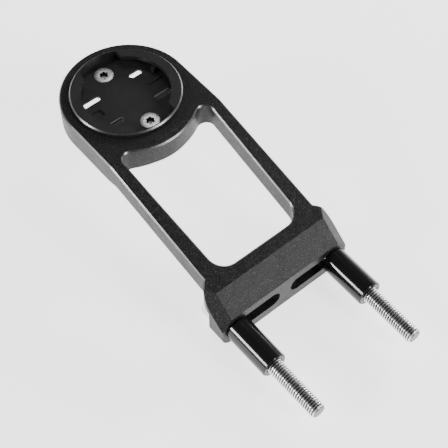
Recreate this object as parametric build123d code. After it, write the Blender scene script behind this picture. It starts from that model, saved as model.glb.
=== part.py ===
from build123d import *
import os
from math import cos, radians, sin, sqrt, tan

# Out-front stem mount for a quarter-turn cycle computer. Millimetres, +Z up.
# Origin: on the cradle's axis, level with the bracket's top face around it.
# +Y points forward, away from the stem, and +X to the rider's right.

# Bracket plate
ring_diameter = 33.7          # outside of the cradle set into the head
head_rim = 3.15               # bracket outside the cradle, also sets the arms' outer sides
head_thickness = 8.2
bend_margin = 2.35            # cradle's outside to the bend, along Y
arm_slope = 11.9              # degrees the arms drop towards the stem
deck_run = 46.7               # bend to the top of the rear bevel, along Y
arm_thickness_front = 7.0     # vertical, just behind the bend
arm_thickness_rear = 6.5      # vertical, at the flange
ramp_run = 4.0                # underside step between head and arms, along Y
edge_chamfer = 0.4

# Window between the arms
window_front_reach = 2.8      # middle of the front wall to the bend, along Y
arm_width_front = 3.95        # at the bend
arm_width_rear = 5.4          # at the rear wall
window_rear_gap = 4.2         # rear wall to the top of the bevel, along Y
window_front_corner = 2.6
window_rear_corner = 5.2

# Foot: bevel, flange and its slots
foot_flare = 3.05             # foot beyond each arm
flare_radius = 8.3            # concave sides between the arms and the foot
flare_end = 0.75              # end of the flare to the flange's front face
bevel_run = 6.75
bevel_angle = 39.5            # degrees below level
side_cut_width = 3.35         # corner cut measured across the bevel
side_cut_drop = 2.85          # corner cut measured square to the bevel
flange_thickness = 6.0
foot_drop = 27.0              # bottom of the flange below the origin
foot_corner = 4.2
bolt_drop = 21.0              # bolt axes below the origin
slot_clearance = 0.15         # above and below the bolt
slot_gap = 9.4                # between the inner slot ends' centres
slot_reach = 37.2             # between the outer slot ends' centres

# Cradle for the computer's quarter-turn foot
ring_proud = 1.4              # above the bracket
ring_chamfer = 0.4
rim_wall = 0.75
socket_depth = 3.2            # ring top to socket floor
floor_thickness = 0.8
cradle_seat_drop = 4.0        # cradle's seat below the bracket's top
skirt_wall = 1.6              # below the floor, round the outside
lip_reach = 3.35              # lips' inner edge from the ring's outside
lip_thickness = 1.4
entry_width = 13.8            # gap between the lips, at the front and rear
pocket_clearance = 0.15
screw_boss = 6.4
tongue_slot_width = 2.0
short_slot_start = 5.5        # from the axis, along X
short_slot_end = 9.7
long_slot_start = 6.1
long_slot_gap = 4.85          # its outer end to the ring's outside
slot_offset = 5.9             # slot centre lines from the axis, along Y
front_left_slot_offset = 5.2
tongue_rib_start = 7.4
tongue_rib_wall = 0.9
tongue_rib_drop = 1.6
detent_start = 8.0            # ridge on the right tongue
detent_gap = 4.45             # its outer end to the ring's outside
detent_width = 0.7
detent_height = 0.35
dimple_start = 8.9            # shallow recess in the left tongue
dimple_end = 11.8
dimple_width = 2.7
dimple_depth = 0.3
stop_gap = 3.95               # turn stops on the socket floor, to the ring's outside
stop_wall = 1.2
stop_angle = 14.0             # degrees round from the X axis

# Opening through the head, under the cradle
head_ledge = 0.6              # holds the cradle's skirt, round the edge
land_width = 6.4              # round the tapped holes
land_gap = 8.95               # its inner end to the ring's outside
bridge_width = 6.0            # bar under the tongues
bridge_thickness = 2.6

# Cradle screws: countersunk, in tapped holes
screw_inset = 5.35            # screw axis to the ring's outside
cradle_screw_diameter = 3.0
cradle_screw_head = 6.0
cradle_screw_rim = 0.15       # straight rim above the countersunk cone
cradle_screw_end_gap = 0.2    # above the bracket's underside
screw_thread_clearance = 0.02
screw_hole_clearance = 0.2
screw_key = 2.7               # across the recess's corners
screw_key_depth = 1.1

# Stem bolts and spacers
bolt_spacing = 35.6
bolt_diameter = 5.0           # plain shank, under the head and in the spacer
bolt_thread_ratio = 0.9       # thread at half its depth, from the spacer's end on
bolt_length = 40.0
bolt_head_diameter = 8.5
bolt_head_height = 5.0
bolt_key = 4.0
bolt_key_depth = 2.5
bolt_chamfer = 0.6
spacer_diameter = 8.0
spacer_length = 16.0
spacer_running_clearance = 0.08
spacer_chamfer = 0.3

# How close two heights or edges have to be to count as level
same = 0.01

# Places that follow from the sizes above
half_ring = ring_diameter / 2
half_plate = half_ring + head_rim
half_foot = half_plate + foot_flare
foot_width = 2 * half_foot
bend_y = -half_ring - bend_margin
bevel_y = bend_y - deck_run
rear_y = bevel_y - bevel_run
flange_front_y = rear_y + flange_thickness
window_rear_y = bevel_y + window_rear_gap
window_front_radius = window_front_reach - bend_y
flare_run = sqrt(flare_radius ** 2 - (flare_radius - foot_flare) ** 2)
slot_width = bolt_diameter + 2 * slot_clearance
socket_floor_z = ring_proud - socket_depth
floor_z = socket_floor_z - floor_thickness
pocket_z = -cradle_seat_drop
lip_z = ring_proud - lip_thickness
rim_radius = half_ring - rim_wall
lip_radius = half_ring - lip_reach
long_slot_end = half_ring - long_slot_gap
detent_end = half_ring - detent_gap
cradle_screw_y = half_ring - screw_inset
cradle_screw_length = head_thickness + socket_floor_z - cradle_screw_end_gap


def deck_z(y):
    """Height of the bracket's top face at y, ahead of the bevel."""
    return min(0.0, (y - bend_y) * tan(radians(arm_slope)))


def side_profile():
    """The bracket seen from the side: head, sloping arms, bevel and flange."""
    bevel_z = deck_z(bevel_y)
    ramp_start_y = bend_y + ramp_run / 2
    ramp_end_y = bend_y - ramp_run / 2
    outline = Polyline(
        (half_plate, 0),
        (bend_y, 0),
        (bevel_y, bevel_z),
        (rear_y, bevel_z - bevel_run * tan(radians(bevel_angle))),
        (rear_y, -foot_drop),
        (flange_front_y, -foot_drop),
        (flange_front_y, deck_z(flange_front_y) - arm_thickness_rear),
        (ramp_end_y, deck_z(ramp_end_y) - arm_thickness_front),
        (ramp_start_y, -head_thickness),
        (half_plate, -head_thickness),
        close=True,
    )
    face = Plane.YZ * make_face(outline)
    return extrude(face, half_foot, both=True)


def plan_outline():
    """The bracket seen from above: round head, straight arms, flared foot."""
    flare_y = flange_front_y - flare_end + flare_run
    right = [
        Line((half_plate, 0), (half_plate, flare_y)),
        RadiusArc((half_plate, flare_y), (half_foot, flare_y - flare_run), flare_radius),
        Line((half_foot, flare_y - flare_run), (half_foot, rear_y)),
    ]
    left = [mirror(edge, Plane.YZ) for edge in right]
    nose = ThreePointArc((half_plate, 0), (0, half_plate), (-half_plate, 0))
    tail = Line((half_foot, rear_y), (-half_foot, rear_y))
    return make_face(right + left + [nose, tail])


def window_outline():
    """The opening between the arms: curved front, tapered sides, round rear corners."""
    lead = half_plate / 2
    taper = (arm_width_rear - arm_width_front) / (bend_y - window_rear_y)
    front_half = half_plate - arm_width_front + taper * lead
    rear_half = half_plate - arm_width_rear
    face = make_face(Polyline(
        (front_half, bend_y + lead),
        (rear_half, window_rear_y),
        (-rear_half, window_rear_y),
        (-front_half, bend_y + lead),
        close=True,
    ))
    face -= Circle(window_front_radius)
    rear = [v for v in face.vertices() if v.Y < window_rear_y + same]
    face = fillet(rear, window_rear_corner)
    front = face.vertices().sort_by(Axis.Y)[-2:]
    return fillet(front, window_front_corner)


def on_deck(face, height):
    """A flat outline carried up to a set height over the sloping arms."""
    deck = Plane(
        origin=(0, bend_y, height),
        x_dir=(1, 0, 0),
        z_dir=(0, -sin(radians(arm_slope)), cos(radians(arm_slope))),
    )
    sheet = deck * Rectangle(4 * foot_width, 8 * deck_run)
    return (sheet.face() & extrude(face, 4 * foot_drop, both=True)).face()


def window_chamfer():
    """Cutter for the chamfer round the window, level on the head and sloping behind."""
    outline = window_outline()
    inner = offset(outline, -edge_chamfer)
    outer = offset(outline, 2 * edge_chamfer)
    low = -2 * edge_chamfer
    high = edge_chamfer
    level = [(Pos(0, 0, low) * inner).face(), (Pos(0, 0, high) * outer).face()]
    slope = [on_deck(inner, low), on_deck(outer, high)]
    reach = 2 * deck_run
    front = Pos(0, bend_y + reach, 0) * Box(2 * foot_width, 2 * reach, 4 * foot_drop)
    rear = Pos(0, bend_y - reach, 0) * Box(2 * foot_width, 2 * reach, 4 * foot_drop)
    level_part = Solid.make_loft([f.outer_wire() for f in level], ruled=True) & front
    slope_part = Solid.make_loft([f.outer_wire() for f in slope], ruled=True) & rear
    return level_part, slope_part


def corner_cut(side):
    """The sloping cut that takes the corner off the bevel on one side."""
    along = Vector(0, -cos(radians(bevel_angle)), -sin(radians(bevel_angle)))
    plane = Plane(
        origin=(side * half_foot, bevel_y, deck_z(bevel_y)),
        x_dir=(side, 0, 0),
        z_dir=along * side,
    )
    length = sqrt(side_cut_width ** 2 + side_cut_drop ** 2)
    ux = side_cut_width / length
    uy = -side_cut_drop / length
    reach = half_plate
    start = -side_cut_width
    slab = make_face(Polyline(
        (start - reach * ux, -reach * uy),
        (start + reach * ux, reach * uy),
        (start + reach * (ux - uy), reach * (uy + ux)),
        (start - reach * (ux + uy), reach * (ux - uy)),
        close=True,
    ))
    return extrude(plane * slab, reach, both=True)


def on_top(edge):
    """True for an edge of the outline that borders the top face."""
    points = [edge @ t for t in (0, 0.5, 1)]
    at_top = all(abs(p.Z - deck_z(p.Y)) < same and p.Y > bevel_y - same for p in points)
    across = max(p.Y for p in points) - min(p.Y for p in points) < same
    is_crease = across and min(abs(points[0].Y - y) for y in (bend_y, bevel_y)) < same
    return at_top and not is_crease


def slot_cut(side):
    """One long hole for a stem bolt, running along X through the flange."""
    centre_x = side * (slot_gap + slot_reach) / 4
    length = (slot_reach - slot_gap) / 2
    face = Plane.XZ * Pos(centre_x, -bolt_drop) * SlotCenterToCenter(length, slot_width)
    return extrude(face, -2 * rear_y, both=True) & Pos(0, rear_y, 0) * Box(
        foot_width, 3 * flange_thickness, 2 * foot_drop)


def make_bracket():
    body = side_profile() & extrude(plan_outline(), 2 * foot_drop, both=True)
    body = chamfer([e for e in body.edges() if on_top(e)], edge_chamfer)
    body -= extrude(window_outline(), 2 * foot_drop, both=True)
    for cutter in window_chamfer():
        body -= cutter
    for side in (-1, 1):
        body -= corner_cut(side)
        body -= slot_cut(side)
    low = [
        e for e in body.edges().filter_by(Axis.Y)
        if abs(e.center().Z + foot_drop) < same and abs(abs(e.center().X) - half_foot) < same
    ]
    body = fillet(low, foot_corner)
    pocket_radius = half_ring + pocket_clearance
    body -= Cylinder(pocket_radius, -2 * pocket_z)
    body -= head_opening(pocket_radius - head_ledge)
    for side in (-1, 1):
        hole = Cylinder(cradle_screw_diameter / 2, 4 * head_thickness)
        body -= Pos(0, side * cradle_screw_y, 0) * hole
    return body


def head_opening(radius):
    """Cutter for the hole under the cradle, less the screw lands and the bridge."""
    cutter = Cylinder(radius, 4 * head_thickness)
    for side in (-1, 1):
        land = Box(land_width, 2 * radius, 8 * head_thickness)
        cutter -= Pos(0, side * (half_ring - land_gap + radius), 0) * land
    bridge = Box(4 * radius, bridge_width, 2 * bridge_thickness)
    return cutter - Pos(0, 0, -head_thickness) * bridge


def ring_profile(points):
    """A solid turned about Z from (radius, height) points."""
    return revolve(Plane.XZ * make_face(Polyline(*points, close=True)), Axis.Z)


def make_cradle():
    body = ring_profile([
        (0, floor_z),
        (half_ring - skirt_wall, floor_z),
        (half_ring - skirt_wall, pocket_z),
        (half_ring, pocket_z),
        (half_ring, ring_proud - ring_chamfer),
        (half_ring - ring_chamfer, ring_proud),
        (rim_radius, ring_proud),
        (rim_radius, socket_floor_z),
        (0, socket_floor_z),
    ])
    lip_outer = rim_radius + rim_wall / 2
    lips = ring_profile([
        (lip_radius, lip_z),
        (lip_outer, lip_z),
        (lip_outer, ring_proud),
        (lip_radius, ring_proud),
    ])
    body += lips - Box(entry_width, ring_diameter, 4 * ring_proud)
    for side in (-1, 1):
        for end in (-1, 1):
            body -= tongue_slot(side, end)
        body += tongue_rib(side)
        body += make_stop(side)
        y = side * cradle_screw_y
        boss = Cylinder(screw_boss / 2, socket_floor_z - pocket_z)
        body += Pos(0, y, (socket_floor_z + pocket_z) / 2) * boss
        body -= Pos(0, y, socket_floor_z) * screw_hole()
    dimple = Box(dimple_end - dimple_start, dimple_width, 2 * dimple_depth)
    body -= Pos(-(dimple_start + dimple_end) / 2, 0, socket_floor_z) * dimple
    return body + make_detent()


def slot_centre(side, end):
    """Y of a tongue slot's centre line."""
    if side < 0 and end > 0:
        return front_left_slot_offset
    return end * slot_offset


def tongue_slot(side, end):
    """One slot beside a tongue: long and short ones are opposite across the axis."""
    long = side * end < 0
    start = long_slot_start if long else short_slot_start
    stop = long_slot_end if long else short_slot_end
    shape = SlotOverall(stop - start, tongue_slot_width) + Pos(
        (stop - start) / 4, 0) * Rectangle((stop - start) / 2, tongue_slot_width)
    cutter = extrude(shape, 2 * socket_depth, both=True)
    if side < 0:
        cutter = Rot(0, 0, 180) * cutter
    return Pos(side * (start + stop) / 2, slot_centre(side, end), socket_floor_z) * cutter


def tongue_rib(side):
    """Rib under a tongue, along its long slot."""
    end = -side
    slot_edge = slot_centre(side, end) - end * tongue_slot_width / 2
    rib = Box(long_slot_end - tongue_rib_start, tongue_rib_wall, tongue_rib_drop)
    x = side * (long_slot_end + tongue_rib_start) / 2
    y = slot_edge - end * tongue_rib_wall / 2
    return Pos(x, y, floor_z - tongue_rib_drop / 2) * rib


def make_detent():
    """A low ridge on the right tongue that drops into the computer's foot."""
    length = detent_end - detent_start
    ridge = Box(length, detent_width, 2 * detent_height)
    return Pos(detent_start + length / 2, 0, socket_floor_z) * ridge


def make_stop(side):
    """A post from the socket floor to the lip that ends the computer's quarter turn."""
    height = lip_z - socket_floor_z
    post = Pos(half_ring - stop_gap, 0, socket_floor_z + height / 2) * Box(stop_wall, stop_wall, height)
    return Rot(0, 0, stop_angle + (180 if side < 0 else 0)) * post


def screw_hole():
    """Clearance hole and countersink, from the socket floor down."""
    head = cradle_screw_head / 2
    bore = cradle_screw_diameter / 2 + screw_hole_clearance
    return ring_profile([
        (0, 0),
        (head, 0),
        (head, -cradle_screw_rim),
        (bore, bore - head - cradle_screw_rim),
        (bore, 2 * pocket_z),
        (0, 2 * pocket_z),
    ])


def make_cradle_screw(side):
    """Countersunk screw with its head level with the socket floor."""
    head = cradle_screw_head / 2
    shank = cradle_screw_diameter / 2 - screw_thread_clearance
    screw = ring_profile([
        (0, 0),
        (head, 0),
        (head, -cradle_screw_rim),
        (shank, shank - head - cradle_screw_rim),
        (shank, -cradle_screw_length),
        (0, -cradle_screw_length),
    ])
    key = RegularPolygon(screw_key / 2, 6)
    screw -= extrude(key, -screw_key_depth)
    return Pos(0, side * cradle_screw_y, socket_floor_z) * screw


def along_bolt(side, y):
    """Turns a solid built up +Z to lie along -Y on one bolt's axis, starting at y."""
    return Pos(side * bolt_spacing / 2, y, -bolt_drop) * Rot(90, 0, 0)


def make_bolt(side):
    """Socket head cap screw, head against the flange's front face."""
    head = bolt_head_diameter / 2
    shank = bolt_diameter / 2
    thread = shank * bolt_thread_ratio
    thread_start = flange_thickness + spacer_length
    bolt = ring_profile([
        (0, -bolt_head_height),
        (head - bolt_chamfer / 2, -bolt_head_height),
        (head, bolt_chamfer / 2 - bolt_head_height),
        (head, 0),
        (shank, 0),
        (shank, thread_start),
        (thread, thread_start),
        (thread, bolt_length - bolt_chamfer),
        (thread - bolt_chamfer, bolt_length),
        (0, bolt_length),
    ])
    key = RegularPolygon(bolt_key / 2, 6, major_radius=False)
    bolt -= Pos(0, 0, -bolt_head_height) * extrude(key, bolt_key_depth)
    return along_bolt(side, flange_front_y) * bolt


def make_spacer(side):
    """Tube on the bolt between the flange and the stem."""
    outer = spacer_diameter / 2
    bore = bolt_diameter / 2 + spacer_running_clearance
    spacer = ring_profile([
        (bore + spacer_chamfer, 0),
        (outer - spacer_chamfer, 0),
        (outer, spacer_chamfer),
        (outer, spacer_length - spacer_chamfer),
        (outer - spacer_chamfer, spacer_length),
        (bore + spacer_chamfer, spacer_length),
        (bore, spacer_length - spacer_chamfer),
        (bore, spacer_chamfer),
    ])
    return along_bolt(side, rear_y) * spacer


def main():
    nodes = {
        "bracket": make_bracket(),
        "cradle": make_cradle(),
        "front_cradle_screw": make_cradle_screw(1),
        "rear_cradle_screw": make_cradle_screw(-1),
    }
    for name, side in (("left", -1), ("right", 1)):
        nodes[name + "_bolt"] = make_bolt(side)
        nodes[name + "_spacer"] = make_spacer(side)
    os.makedirs("parts", exist_ok=True)
    for name, solid in nodes.items():
        export_step(solid, "parts/" + name + ".step")


main()
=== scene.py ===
from math import cos, pi, radians, sin, tan

import bmesh
import bpy
from mathutils import Matrix, Vector


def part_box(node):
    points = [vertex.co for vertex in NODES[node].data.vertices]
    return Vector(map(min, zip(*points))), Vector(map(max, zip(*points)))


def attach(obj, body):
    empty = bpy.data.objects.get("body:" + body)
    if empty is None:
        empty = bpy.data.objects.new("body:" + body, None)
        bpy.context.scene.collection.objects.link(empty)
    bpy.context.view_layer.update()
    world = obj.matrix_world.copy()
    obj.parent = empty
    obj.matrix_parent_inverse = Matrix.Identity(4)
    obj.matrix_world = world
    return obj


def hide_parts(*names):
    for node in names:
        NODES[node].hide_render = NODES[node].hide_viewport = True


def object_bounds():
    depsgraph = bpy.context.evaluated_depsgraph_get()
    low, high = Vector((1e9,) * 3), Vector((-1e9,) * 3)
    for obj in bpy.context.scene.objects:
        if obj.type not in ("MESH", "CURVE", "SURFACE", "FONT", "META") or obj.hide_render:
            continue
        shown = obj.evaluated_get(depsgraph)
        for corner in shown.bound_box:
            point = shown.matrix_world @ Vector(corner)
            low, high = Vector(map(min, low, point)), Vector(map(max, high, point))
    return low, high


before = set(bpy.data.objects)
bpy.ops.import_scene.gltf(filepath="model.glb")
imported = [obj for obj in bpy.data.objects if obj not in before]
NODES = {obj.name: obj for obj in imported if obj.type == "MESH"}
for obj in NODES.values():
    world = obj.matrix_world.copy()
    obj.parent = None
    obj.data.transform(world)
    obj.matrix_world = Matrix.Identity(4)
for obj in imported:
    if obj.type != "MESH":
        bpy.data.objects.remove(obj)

CAD_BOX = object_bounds()
MM = 0.001
FLANGE = 6.0 * MM            # thickness of the bracket's flange
BEND = 19.2 * MM             # cradle axis to where the arms start to slope
ARM_SLOPE = radians(11.9)
CHAMFER_END = 65.8 * MM      # cradle axis to the last of the top chamfers
CHAMFER_DROP = 0.45 * MM     # chamfered faces' middles lie within this of the top
RING_EDGE_RADIUS = 16.2 * MM
RING_EDGE_HEIGHT = 0.9 * MM

BOLT_CREST = 2.475 * MM      # radius over the thread
BOLT_PITCH = 0.8 * MM
BOLT_END_CHAMFER = 0.6 * MM
BOLT_KEY = 4.0 * MM
THREAD_RUN_IN = 1.5 * MM     # thread hidden inside the spacer's end
SCREW_KEY = 2.7 * MM         # across the recess's lobes


# ---------------------------------------------------------------- materials

def new_material(name, color, roughness, metallic=0.0):
    mat = bpy.data.materials.new(name)
    mat.use_nodes = True
    shader = mat.node_tree.nodes["Principled BSDF"]
    shader.inputs["Base Color"].default_value = (*color, 1.0)
    shader.inputs["Roughness"].default_value = roughness
    shader.inputs["Metallic"].default_value = metallic
    return mat, mat.node_tree, shader


def coordinates(tree, stretch=(1, 1, 1)):
    """Object coordinates, optionally stretched. One unit is one metre."""
    coord = tree.nodes.new("ShaderNodeTexCoord")
    mapping = tree.nodes.new("ShaderNodeMapping")
    mapping.inputs["Scale"].default_value = stretch
    tree.links.new(coord.outputs["Object"], mapping.inputs["Vector"])
    return mapping.outputs["Vector"]


def noise(tree, vector, scale, detail=3.0, roughness=0.55):
    node = tree.nodes.new("ShaderNodeTexNoise")
    node.inputs["Scale"].default_value = scale
    node.inputs["Detail"].default_value = detail
    node.inputs["Roughness"].default_value = roughness
    tree.links.new(vector, node.inputs["Vector"])
    return node.outputs["Fac"]


def ramp(tree, value, stops):
    """Maps a 0 to 1 value through (position, colour or grey) stops."""
    node = tree.nodes.new("ShaderNodeValToRGB")
    elements = node.color_ramp.elements
    while len(elements) < len(stops):
        elements.new(0.5)
    for element, (position, color) in zip(elements, stops):
        element.position = position
        if isinstance(color, (int, float)):
            color = (color, color, color)
        element.color = (*color, 1.0)
    tree.links.new(value, node.inputs["Fac"])
    return node.outputs["Color"]


def math_node(tree, operation, first, second):
    """One arithmetic step; the second value is a socket or a number."""
    node = tree.nodes.new("ShaderNodeMath")
    node.operation = operation
    tree.links.new(first, node.inputs[0])
    if isinstance(second, (int, float)):
        node.inputs[1].default_value = second
    else:
        tree.links.new(second, node.inputs[1])
    return node.outputs["Value"]


def bump(tree, height, distance, strength, before=None):
    node = tree.nodes.new("ShaderNodeBump")
    node.inputs["Distance"].default_value = distance
    node.inputs["Strength"].default_value = strength
    tree.links.new(height, node.inputs["Height"])
    if before is not None:
        tree.links.new(before, node.inputs["Normal"])
    return node.outputs["Normal"]


def blasted_anodised():
    """Bead-blasted aluminium under black anodising, left rough in the head's pocket."""
    mat, tree, shader = new_material("blasted_black_anodised", (0.02, 0.02, 0.021), 0.4)
    vector = coordinates(tree)
    grain = noise(tree, vector, 3600.0, 2.0, 0.6)
    cloud = noise(tree, vector, 260.0, 4.0, 0.6)
    color = ramp(tree, grain, [(0.0, 0.002), (0.48, 0.005), (0.6, 0.022), (0.7, 0.09)])
    tree.links.new(color, shader.inputs["Base Color"])
    rough = ramp(tree, cloud, [(0.3, 0.36), (0.7, 0.44)])
    away = tree.nodes.new("ShaderNodeVectorMath")
    away.operation = "LENGTH"
    tree.links.new(vector, away.inputs[0])
    share = math_node(tree, "DIVIDE", away.outputs["Value"], 40 * MM)
    pocket = ramp(tree, share, [(0.415, 0.95), (0.425, 0.0)])
    tree.links.new(math_node(tree, "MAXIMUM", rough, pocket), shader.inputs["Roughness"])
    pits = tree.nodes.new("ShaderNodeTexVoronoi")
    pits.inputs["Scale"].default_value = 4200.0
    tree.links.new(vector, pits.inputs["Vector"])
    soft = bump(tree, pits.outputs["Distance"], 0.00003, 0.35)
    normal = bump(tree, grain, 0.0001, 0.9, before=soft)
    tree.links.new(normal, shader.inputs["Normal"])
    shader.inputs["IOR"].default_value = 1.32
    return mat


def cut_edge():
    """Chamfers cut after blasting: smoother, so they catch the light."""
    mat, tree, shader = new_material("cut_edge_anodised", (0.012, 0.012, 0.012), 0.3)
    vector = coordinates(tree)
    rough = ramp(tree, noise(tree, vector, 1500.0), [(0.3, 0.26), (0.7, 0.36)])
    tree.links.new(rough, shader.inputs["Roughness"])
    shader.inputs["IOR"].default_value = 2.0
    return mat


def turned_anodised():
    """Glossy black anodised tube with faint turning marks round its axis."""
    mat, tree, shader = new_material("turned_black_anodised", (0.006, 0.006, 0.0065), 0.16)
    vector = coordinates(tree, (150, 9000, 150))
    marks = noise(tree, vector, 1.0, 2.0, 0.5)
    tree.links.new(bump(tree, marks, 0.00001, 0.1), shader.inputs["Normal"])
    rough = ramp(tree, noise(tree, coordinates(tree), 900.0), [(0.3, 0.10), (0.7, 0.14)])
    tree.links.new(rough, shader.inputs["Roughness"])
    shader.inputs["IOR"].default_value = 1.45
    return mat


def moulded_plastic():
    """Fine spark-eroded black moulding, rougher underneath."""
    mat, tree, shader = new_material("moulded_black", (0.012, 0.012, 0.013), 0.5)
    vector = coordinates(tree)
    skin = noise(tree, vector, 5200.0, 2.0, 0.5)
    tree.links.new(bump(tree, skin, 0.00003, 0.3), shader.inputs["Normal"])
    cloud = noise(tree, vector, 400.0, 3.0)
    tree.links.new(ramp(tree, cloud, [(0.3, 0.011), (0.7, 0.016)]), shader.inputs["Base Color"])
    rough = ramp(tree, cloud, [(0.3, 0.42), (0.7, 0.52)])
    split = tree.nodes.new("ShaderNodeSeparateXYZ")
    tree.links.new(vector, split.inputs["Vector"])
    depth = math_node(tree, "MULTIPLY", split.outputs["Z"], -250.0)
    under = ramp(tree, depth, [(0.5, 0.0), (0.6, 0.95)])
    tree.links.new(math_node(tree, "MAXIMUM", rough, under), shader.inputs["Roughness"])
    shader.inputs["IOR"].default_value = 1.38
    return mat


def stainless(name, roughness, grey):
    """Bright stainless with fine drawn scratches and slight clouding."""
    mat, tree, shader = new_material(name, (grey, grey, grey), roughness, 1.0)
    vector = coordinates(tree)
    cloud = noise(tree, vector, 700.0, 4.0)
    color = ramp(tree, cloud, [(0.3, grey * 0.82), (0.7, grey)])
    tree.links.new(color, shader.inputs["Base Color"])
    fine = noise(tree, vector, 6000.0, 2.0)
    rough = ramp(tree, fine, [(0.3, roughness * 0.8), (0.7, roughness * 1.3)])
    tree.links.new(rough, shader.inputs["Roughness"])
    tree.links.new(bump(tree, fine, 0.00001, 0.25), shader.inputs["Normal"])
    return mat


# ------------------------------------------------------------------ pieces

def finish_piece(name, mesh, materials, body, node):
    for material in materials:
        mesh.materials.append(material)
    obj = bpy.data.objects.new(name, mesh)
    bpy.context.scene.collection.objects.link(obj)
    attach(obj, body)
    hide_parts(node)
    return obj


def lathe(bm, rings, steps):
    """Rings of vertices round +Z from (radius function or number, height); returns them."""
    made = []
    for radius, height in rings:
        row = []
        for i in range(steps):
            angle = 2 * pi * i / steps
            r = radius(angle) if callable(radius) else radius
            row.append(bm.verts.new((r * cos(angle), r * sin(angle), height)))
        made.append(row)
    for low, high in zip(made, made[1:]):
        for i in range(steps):
            k = (i + 1) % steps
            bm.faces.new((low[i], low[k], high[k], high[i]))
    return made


def thread(bm, start, end, crest, pitch, chamfer, steps=48):
    """A 60 degree thread along +Z, fading out at both ends. Grooves take material 1, a darker steel
    that paints the shade in the grooves.
    """
    root = crest - 0.61 * pitch
    middle = (root + crest) / 2
    profile = [(0.0, root), (0.08, root), (0.25, middle), (0.42, crest)]
    profile += [(0.58, crest), (0.75, middle), (0.92, root)]
    count = len(profile)
    turns = int((end - start) / pitch) + 2
    low_end = start + 0.001 * pitch
    high_end = end - 0.001 * pitch
    grid = []
    for row in range(turns * count):
        turn, part = divmod(row, count)
        offset, radius = profile[part]
        line = []
        for i in range(steps + 1):
            z = start + (turn + offset + i / steps - 1) * pitch
            near_end = root - 0.25 * chamfer + max(0.0, end - z)
            limit = min(crest, near_end, root + max(0.0, z - start))
            z = min(max(z, low_end), high_end)
            angle = 2 * pi * i / steps
            r = min(radius, limit)
            line.append(bm.verts.new((r * cos(angle), r * sin(angle), z)))
        grid.append(line)
    for row in range(turns * count - 1):
        # Groove rows get the darker steel: painted shade in the thread's roots.
        groove_gets_painted_shade = row % count in (0, 1, 5, 6)
        for i in range(steps):
            corners = (grid[row][i], grid[row][i + 1], grid[row + 1][i + 1], grid[row + 1][i])
            heights = [v.co.z for v in corners]
            if max(heights) - min(heights) > 1e-9:
                face = bm.faces.new(corners)
                face.material_index = 1 if groove_gets_painted_shade else 0
    bmesh.ops.remove_doubles(bm, verts=[v for line in grid for v in line], dist=1e-7)
    bmesh.ops.dissolve_degenerate(bm, edges=bm.edges[:], dist=1e-7)
    loose = [v for v in bm.verts if not v.link_faces]
    bmesh.ops.delete(bm, geom=loose, context="VERTS")


def close_holes(bm):
    edges = [e for e in bm.edges if len(e.link_faces) == 1]
    bmesh.ops.holes_fill(bm, edges=edges, sides=0)


def hex_radius(across):
    """Radius of a hexagon with that distance across its flats, by angle."""
    def radius(angle):
        sector = (angle + pi / 6) % (pi / 3) - pi / 6
        return across / 2 / cos(sector)
    return radius


def lobe_radius(across):
    """Six-lobed screw recess, by angle."""
    def radius(angle):
        return across / 2 * (0.86 + 0.14 * cos(6 * angle))
    return radius


def knurl_radius(radius, depth, teeth):
    def value(angle):
        return radius - depth * (0.5 - 0.5 * cos(teeth * angle))
    return value


def along_bolt(mesh, centre_x, centre_z, start_y):
    """Turns a mesh built up +Z to run along -Y from start_y."""
    turn = Matrix.Rotation(radians(90), 4, "X")
    mesh.transform(Matrix.Translation((centre_x, start_y, centre_z)) @ turn)


def stem_bolt(side, materials):
    """Socket head cap screw: knurled head, hexagon socket, plain shank and thread."""
    node = side + "_bolt"
    low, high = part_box(node)
    head_r = (high.x - low.x) / 2
    spacer_low, spacer_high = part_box(side + "_spacer")
    seat = spacer_high.y + FLANGE
    head_h = high.y - seat
    length = seat - low.y
    plain = seat - spacer_low.y - THREAD_RUN_IN
    bm = bmesh.new()
    knurl = knurl_radius(head_r, 0.1 * MM, 36)
    socket = hex_radius(BOLT_KEY)
    rings = [
        (BOLT_CREST, plain),
        (BOLT_CREST, 0.0),
        (head_r - 0.25 * MM, 0.0),
        (head_r - 0.12 * MM, -0.12 * MM),
        (knurl, -0.45 * MM),
        (knurl, 0.85 * MM - head_h),
        (head_r - 0.1 * MM, 0.6 * MM - head_h),
        (head_r - 0.3 * MM, 0.18 * MM - head_h),
        (head_r - 0.65 * MM, -head_h),
        (2.75 * MM, -head_h),
        (lambda a: max(socket(a), BOLT_KEY / 2) + 0.12 * MM, -head_h),
        (socket, 0.15 * MM - head_h),
        (socket, 2.5 * MM - head_h),
        (1.6 * MM, 2.55 * MM - head_h),
        (0.05 * MM, 3.1 * MM - head_h),
    ]
    head_rings = lathe(bm, rings, 144)
    bm.faces.new(head_rings[-1])
    bm.faces.new(head_rings[0])
    shank = bmesh.new()
    thread(shank, plain, length, BOLT_CREST, BOLT_PITCH, BOLT_END_CHAMFER)
    close_holes(shank)
    shank_mesh = bpy.data.meshes.new("shank")
    shank.to_mesh(shank_mesh)
    shank.free()
    bm.from_mesh(shank_mesh)
    bmesh.ops.recalc_face_normals(bm, faces=bm.faces)
    for face in bm.faces:
        face.smooth = True
    mesh = bpy.data.meshes.new(side + "_stem_bolt")
    bm.to_mesh(mesh)
    bm.free()
    centre = (low + high) / 2
    along_bolt(mesh, centre.x, centre.z, seat)
    mesh.set_sharp_from_angle(angle=radians(32))
    return finish_piece(side + "_stem_bolt", mesh, materials, side + "_bolt", node)


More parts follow.
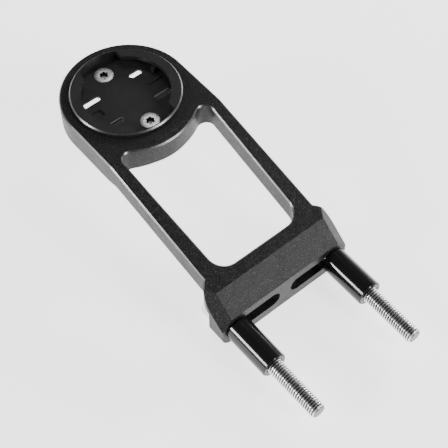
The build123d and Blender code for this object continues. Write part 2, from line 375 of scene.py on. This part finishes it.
def cradle_screw(end, materials):
    """Countersunk screw with a six-lobed recess, whose inside is painted near black as shade."""
    node = end + "_cradle_screw"
    low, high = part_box(node)
    radius = (high.x - low.x) / 2
    top = high.z
    bottom = low.z
    centre = (low + high) / 2
    bm = bmesh.new()
    recess = lobe_radius(SCREW_KEY)
    rings = [
        (0.05 * MM, bottom - top + 0.05 * MM),
        (1.0 * MM, bottom - top),
        (1.4 * MM, bottom - top + 0.4 * MM),
        (1.4 * MM, -1.75 * MM),
        (radius - 0.02 * MM, -0.2 * MM),
        (radius, -0.12 * MM),
        (radius - 0.05 * MM, -0.03 * MM),
        (radius - 0.16 * MM, 0.0),
        (1.75 * MM, -0.01 * MM),
        (lambda a: recess(a) + 0.1 * MM, -0.015 * MM),
        (recess, -0.12 * MM),
        (lambda a: recess(a) * 0.96, -1.15 * MM),
        (0.75 * MM, -1.2 * MM),
        (0.05 * MM, -1.45 * MM),
    ]
    made = lathe(bm, rings, 96)
    bm.faces.new(made[0])
    bm.faces.new(made[-1])
    bmesh.ops.recalc_face_normals(bm, faces=bm.faces)
    for face in bm.faces:
        face.smooth = True
        middle = face.calc_center_median()
        # Faces inside the recess take material 1, a near-black steel that paints the shade in the
        # recess.
        if middle.xy.length < 1.4 * MM and -1.19 * MM < middle.z < -0.03 * MM:
            face.material_index = 1
    mesh = bpy.data.meshes.new(node + "_detail")
    bm.to_mesh(mesh)
    bm.free()
    mesh.transform(Matrix.Translation((centre.x, centre.y, top)))
    mesh.set_sharp_from_angle(angle=radians(35))
    return finish_piece(end + "_countersunk_screw", mesh, materials, "bracket", node)


def dress(node, material):
    """Gives a CAD node its material."""
    obj = NODES[node]
    obj.data.materials.clear()
    obj.data.materials.append(material)


def dress_faces(node, material, chosen):
    """Adds a second material to a CAD node, on the faces that chosen accepts."""
    obj = NODES[node]
    obj.data.materials.append(material)
    for face in obj.data.polygons:
        if chosen(face.center, face.normal):
            face.material_index = 1


def is_chamfer(normal):
    """True for a face tilted about half way between level and upright."""
    return 0.6 < normal.z < 0.82


def on_top_edge(centre, normal):
    """The chamfers round the bracket's top: level at the head, then down the arms."""
    top = min(0.0, (centre.y + BEND) * tan(ARM_SLOPE))
    near_top = centre.z > top - CHAMFER_DROP
    return is_chamfer(normal) and near_top and centre.y > -CHAMFER_END


def on_ring_edge(centre, normal):
    """The chamfer round the cradle's ring."""
    outside = centre.xy.length > RING_EDGE_RADIUS
    return is_chamfer(normal) and centre.z > RING_EDGE_HEIGHT and outside


# ----------------------------------------------------------- studio, camera

def plain_floor(height):
    mesh = bpy.data.meshes.new("floor")
    size = 3.0
    mesh.from_pydata(
        [(-size, -size, height), (size, -size, height), (size, size, height), (-size, size, height)],
        [], [(0, 1, 2, 3)])
    mat, tree, shader = new_material("pale_table", (0.86, 0.86, 0.86), 0.6)
    vector = coordinates(tree)
    tone = ramp(tree, noise(tree, vector, 6.0, 2.0), [(0.3, 0.855), (0.7, 0.87)])
    tree.links.new(tone, shader.inputs["Base Color"])
    shader.inputs["Emission Color"].default_value = (1.0, 1.0, 1.0, 1.0)
    shader.inputs["Emission Strength"].default_value = 2.1
    mesh.materials.append(mat)
    obj = bpy.data.objects.new("floor", mesh)
    bpy.context.scene.collection.objects.link(obj)


def soft_light(name, place, target, width, height, power):
    data = bpy.data.lights.new(name, "AREA")
    data.shape = "RECTANGLE"
    data.size = width
    data.size_y = height
    data.energy = power
    obj = bpy.data.objects.new(name, data)
    obj.location = place
    obj.rotation_euler = (Vector(target) - Vector(place)).to_track_quat("-Z", "Y").to_euler()
    bpy.context.scene.collection.objects.link(obj)


def camera(place, azimuth, elevation, roll, lens):
    a = radians(azimuth)
    e = radians(elevation)
    r = radians(roll)
    back = Vector((sin(a) * cos(e), -cos(a) * cos(e), sin(e)))
    level = Vector((cos(a), sin(a), 0))
    rise = back.cross(level)
    right = level * cos(r) - rise * sin(r)
    up = back.cross(right)
    data = bpy.data.cameras.new("camera")
    data.sensor_width = 36.0
    data.lens = lens
    data.clip_start = 0.01
    obj = bpy.data.objects.new("camera", data)
    obj.matrix_world = Matrix((
        (right.x, up.x, back.x, place[0]),
        (right.y, up.y, back.y, place[1]),
        (right.z, up.z, back.z, place[2]),
        (0, 0, 0, 1),
    ))
    bpy.context.scene.collection.objects.link(obj)
    bpy.context.scene.camera = obj


def studio():
    """Pale surroundings low down, a dim ceiling, and soft boxes."""
    world = bpy.data.worlds.new("studio")
    world.use_nodes = True
    tree = world.node_tree
    background = tree.nodes["Background"]
    coord = tree.nodes.new("ShaderNodeTexCoord")
    split = tree.nodes.new("ShaderNodeSeparateXYZ")
    tree.links.new(coord.outputs["Generated"], split.inputs["Vector"])
    sky = ramp(tree, split.outputs["Z"], [(0.0, 1.0), (0.22, 0.78), (0.42, 0.24), (1.0, 0.16)])
    tree.links.new(sky, background.inputs["Color"])
    background.inputs["Strength"].default_value = 0.8
    bpy.context.scene.world = world
    aim = (0, -0.045, -0.01)
    soft_light("right", (0.95, 0.08, 0.34), aim, 0.22, 0.22, 10.0)
    soft_light("low_front", (0.40, -0.87, 0.53), aim, 0.34, 0.44, 9.0)
    soft_light("left_front", (-0.90, 0.34, 0.36), aim, 0.18, 0.26, 7.5)
    soft_light("upper_front", (0.356, 0.441, 0.823), aim, 0.16, 0.16, 0.38)


anodised = blasted_anodised()
turned = turned_anodised()
plastic = moulded_plastic()
edge = cut_edge()
bright = stainless("bright_stainless", 0.24, 0.78)
# Darker steel for the thread grooves: painted shade, the same metal as the crests.
painted_groove_shade = stainless("thread_groove_painted_shade", 0.35, 0.16)
# Near-black steel inside the screw recesses: painted shade, the same metal as the head.
recess = stainless("recess_painted_shade", 0.4, 0.05)
satin = stainless("satin_stainless", 0.28, 0.80)

dress("bracket", anodised)
dress("cradle", plastic)
dress_faces("bracket", edge, on_top_edge)
dress_faces("cradle", edge, on_ring_edge)
for side in ("left", "right"):
    dress(side + "_spacer", turned)
    stem_bolt(side, [bright, painted_groove_shade])
for end in ("front", "rear"):
    cradle_screw(end, [satin, recess])

plain_floor(CAD_BOX[0].z)
studio()
camera((-0.12235, -0.19692, 0.26508), -38.907, 55.436, 0.73, 94.63)
